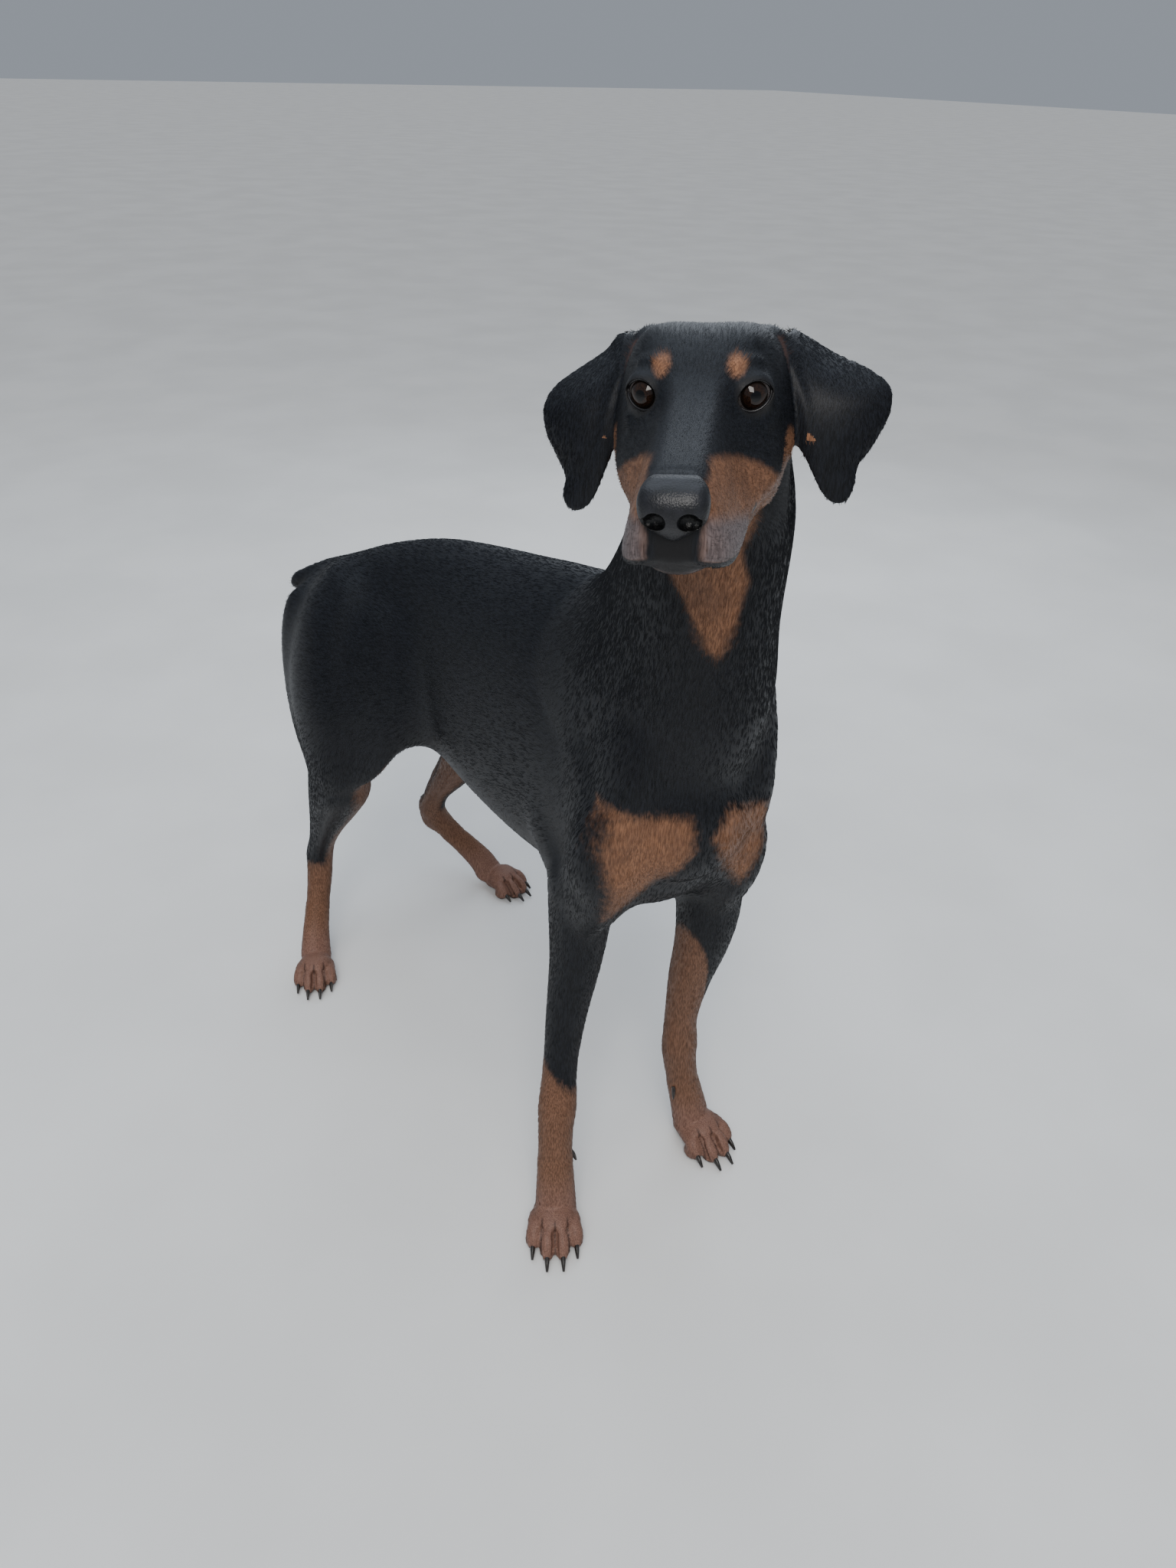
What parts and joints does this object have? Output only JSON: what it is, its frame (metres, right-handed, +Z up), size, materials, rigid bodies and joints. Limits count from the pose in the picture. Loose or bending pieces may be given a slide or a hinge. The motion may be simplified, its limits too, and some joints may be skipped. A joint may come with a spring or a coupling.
{
  "type": "standing doberman pinscher figure",
  "caption": "Life-size still figure of a lean black and rust dog with pendant ears and a docked tail, standing with its head turned and raised.",
  "frame": {"origin": "on the floor, under the middle of the figure's bounding box", "axes": "+Z up, the dog faces -Y, its left side is +X"},
  "size_m": [0.4494, 0.8939, 0.9659],
  "materials": {
    "coat_black": "short, flat, glossy black hair",
    "coat_rust": "short, flat rust-tan hair",
    "eye": "wet, glossy dark brown",
    "nose_leather": "moist black skin with a fine pebbled grain",
    "claw": "dark horn"
  },
  "bodies": {
    "root": {"torso": "coat_black", "neck": "coat_black", "head": "coat_black", "tail": "coat_black", "thigh_left": "coat_black", "thigh_right": "coat_black", "shank_left": "coat_black", "shank_right": "coat_black", "foreleg_left": "coat_black", "foreleg_right": "coat_black", "forepaw_left": "coat_rust", "forepaw_right": "coat_rust", "hindpaw_left": "coat_rust", "hindpaw_right": "coat_rust", "ear_left": "coat_black", "ear_right": "coat_black", "eye_left": "eye", "eye_right": "eye", "nose": "nose_leather", "claw_fore_left_1": "claw", "claw_fore_left_2": "claw", "claw_fore_left_3": "claw", "claw_fore_left_4": "claw", "claw_fore_left_5": "claw", "claw_fore_right_1": "claw", "claw_fore_right_2": "claw", "claw_fore_right_3": "claw", "claw_fore_right_4": "claw", "claw_fore_right_5": "claw", "claw_hind_left_1": "claw", "claw_hind_left_2": "claw", "claw_hind_left_3": "claw", "claw_hind_left_4": "claw", "claw_hind_right_1": "claw", "claw_hind_right_2": "claw", "claw_hind_right_3": "claw", "claw_hind_right_4": "claw"}
  },
  "joints": []
}
